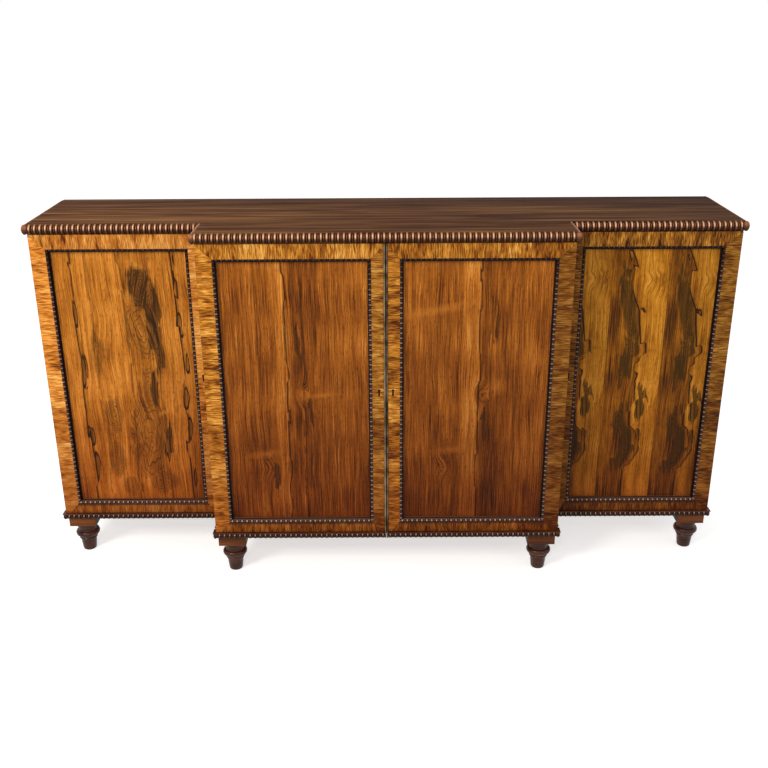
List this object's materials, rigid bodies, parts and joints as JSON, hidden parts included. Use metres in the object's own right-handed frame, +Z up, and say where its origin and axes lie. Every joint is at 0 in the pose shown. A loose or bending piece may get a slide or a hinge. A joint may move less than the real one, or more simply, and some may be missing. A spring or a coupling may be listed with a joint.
{
  "type": "breakfront cabinet",
  "caption": "Low breakfront side cabinet with panelled hinged doors, bead-and-reel mouldings round the top and base, and short turned feet.",
  "frame": {"origin": "on the floor, under the middle of the object's box", "axes": "+Z up, +X along the front to the right as seen from the front, the doors face -Y"},
  "size_m": [1.761, 0.4284, 0.92],
  "materials": {
    "rosewood_top": "long-grain rosewood veneer, old French polish, worn to a soft sheen",
    "rosewood_crossband": "crossbanded rosewood veneer, French polished",
    "rosewood_figured": "figured rosewood veneer with dark ink lines, French polished",
    "rosewood_straight": "straight-grained rosewood veneer, French polished",
    "rosewood_sides": "rosewood veneer on the sides, French polished",
    "rosewood_turned": "solid dark rosewood, turned and polished",
    "carcase_wood": "plain secondary softwood, oiled and aged",
    "aged_brass": "old dull lacquered brass",
    "lock_steel": "filed steel, dulled"
  },
  "bodies": {
    "carcase": {"top_board": "rosewood_top", "top_bead_left": "rosewood_turned", "top_bead_centre": "rosewood_turned", "top_bead_right": "rosewood_turned", "left_end_panel": "rosewood_sides", "right_end_panel": "rosewood_sides", "left_partition": "rosewood_sides", "right_partition": "rosewood_sides", "left_closing_strip": "rosewood_crossband", "right_closing_strip": "rosewood_crossband", "left_bottom": "carcase_wood", "centre_bottom": "carcase_wood", "right_bottom": "carcase_wood", "back_panels": "carcase_wood", "left_shelf": "carcase_wood", "centre_shelf": "carcase_wood", "right_shelf": "carcase_wood", "shelf_bearers": "carcase_wood", "foot_blocks": "rosewood_crossband", "front_feet": "rosewood_turned", "back_feet": "rosewood_turned", "base_bead_returns": "rosewood_turned", "fixed_hinge_leaves": "aged_brass", "hinge_pins": "aged_brass", "strike_plates": "aged_brass"},
    "left_wing_door": {"left_wing_frame": "rosewood_crossband", "left_wing_panel": "rosewood_figured", "left_wing_beading": "rosewood_turned", "left_wing_base_bead": "rosewood_turned", "left_wing_hinge_leaves": "aged_brass", "left_wing_keyhole": "aged_brass", "left_wing_lock": "aged_brass"},
    "right_wing_door": {"right_wing_frame": "rosewood_crossband", "right_wing_panel": "rosewood_figured", "right_wing_beading": "rosewood_turned", "right_wing_base_bead": "rosewood_turned", "right_wing_hinge_leaves": "aged_brass", "right_wing_keyhole": "aged_brass", "right_wing_lock": "aged_brass"},
    "left_centre_door": {"left_centre_frame": "rosewood_crossband", "left_centre_panel": "rosewood_straight", "left_centre_beading": "rosewood_turned", "left_centre_base_bead": "rosewood_turned", "left_centre_hinge_leaves": "aged_brass", "left_centre_keyhole": "aged_brass", "left_centre_flush_bolt_case": "aged_brass", "left_centre_brass_edge": "aged_brass"},
    "right_centre_door": {"right_centre_frame": "rosewood_crossband", "right_centre_panel": "rosewood_straight", "right_centre_beading": "rosewood_turned", "right_centre_base_bead": "rosewood_turned", "right_centre_hinge_leaves": "aged_brass", "right_centre_keyhole": "aged_brass", "right_centre_lock": "aged_brass", "right_centre_brass_edge": "aged_brass"},
    "left_wing_bolt": {"left_wing_lock_bolt": "lock_steel"},
    "right_wing_bolt": {"right_wing_lock_bolt": "lock_steel"},
    "right_centre_bolt": {"right_centre_lock_bolt": "lock_steel"},
    "flush_bolt": {"left_centre_flush_bolt": "aged_brass"}
  },
  "joints": [
    {"name": "left_wing_hinge", "type": "hinge", "parent": "carcase", "child": "left_wing_door", "pos_m": [-0.8695, -0.07225, 0.5], "axis": [0, 0, -1], "range_deg": [0, 95]},
    {"name": "right_wing_hinge", "type": "hinge", "parent": "carcase", "child": "right_wing_door", "pos_m": [0.8695, -0.07225, 0.5], "axis": [0, 0, 1], "range_deg": [0, 95]},
    {"name": "left_centre_hinge", "type": "hinge", "parent": "carcase", "child": "left_centre_door", "pos_m": [-0.4465, -0.17925, 0.5], "axis": [0, 0, -1], "range_deg": [0, 95]},
    {"name": "right_centre_hinge", "type": "hinge", "parent": "carcase", "child": "right_centre_door", "pos_m": [0.4465, -0.17925, 0.5], "axis": [0, 0, 1], "range_deg": [0, 95]},
    {"name": "left_wing_bolt_slide", "type": "slide", "parent": "left_wing_door", "child": "left_wing_bolt", "axis": [1, 0, 0], "range_m": [0, 0.007]},
    {"name": "right_wing_bolt_slide", "type": "slide", "parent": "right_wing_door", "child": "right_wing_bolt", "axis": [-1, 0, 0], "range_m": [0, 0.007]},
    {"name": "right_centre_bolt_slide", "type": "slide", "parent": "right_centre_door", "child": "right_centre_bolt", "axis": [-1, 0, 0], "range_m": [0, 0.007]},
    {"name": "flush_bolt_slide", "type": "slide", "parent": "left_centre_door", "child": "flush_bolt", "axis": [0, 0, 1], "range_m": [0, 0.009]}
  ]
}
